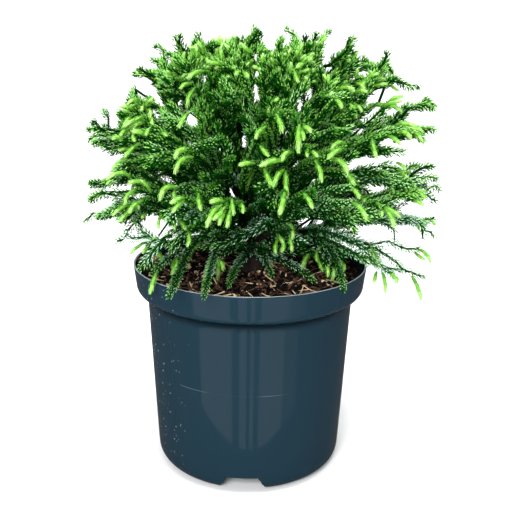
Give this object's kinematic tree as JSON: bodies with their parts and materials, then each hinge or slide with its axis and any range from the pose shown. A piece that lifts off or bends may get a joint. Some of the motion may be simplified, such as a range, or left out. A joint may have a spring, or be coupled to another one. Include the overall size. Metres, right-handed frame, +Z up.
{
  "type": "potted dwarf cryptomeria",
  "caption": "Dwarf cryptomeria, a small globe-shaped conifer with lime green new tips, growing in a round blue-grey plastic nursery pot.",
  "frame": {"origin": "on the pot's axis, in the plane of its flat underside", "axes": "+Z up along the pot's axis, -Y towards the plant's front"},
  "size_m": [0.2851, 0.281, 0.3535],
  "materials": {
    "pot_plastic": "gloss",
    "potting_mix": "matte",
    "bark": "matte",
    "foliage": "matte"
  },
  "bodies": {
    "root": {"pot": "pot_plastic", "potting_mix": "potting_mix", "trunk": "bark", "bough_high_1": "bark", "bough_high_2": "bark", "bough_high_3": "bark", "bough_high_4": "bark", "bough_high_5": "bark", "bough_low_1": "bark", "bough_low_2": "bark", "bough_low_3": "bark", "bough_low_4": "bark", "bough_low_5": "bark", "bough_low_6": "bark", "bough_low_7": "bark", "bough_low_8": "bark", "bough_low_9": "bark", "bough_mid_1": "bark", "bough_mid_2": "bark", "bough_mid_3": "bark", "bough_mid_4": "bark", "bough_mid_5": "bark", "bough_mid_6": "bark", "bough_mid_7": "bark", "bough_mid_8": "bark", "foliage_high_1": "foliage", "foliage_high_2": "foliage", "foliage_high_3": "foliage", "foliage_high_4": "foliage", "foliage_high_5": "foliage", "foliage_low_1": "foliage", "foliage_low_2": "foliage", "foliage_low_3": "foliage", "foliage_low_4": "foliage", "foliage_low_5": "foliage", "foliage_low_6": "foliage", "foliage_low_7": "foliage", "foliage_low_8": "foliage", "foliage_low_9": "foliage", "foliage_mid_1": "foliage", "foliage_mid_2": "foliage", "foliage_mid_3": "foliage", "foliage_mid_4": "foliage", "foliage_mid_5": "foliage", "foliage_mid_6": "foliage", "foliage_mid_7": "foliage", "foliage_mid_8": "foliage", "foliage_top": "foliage"}
  },
  "joints": []
}
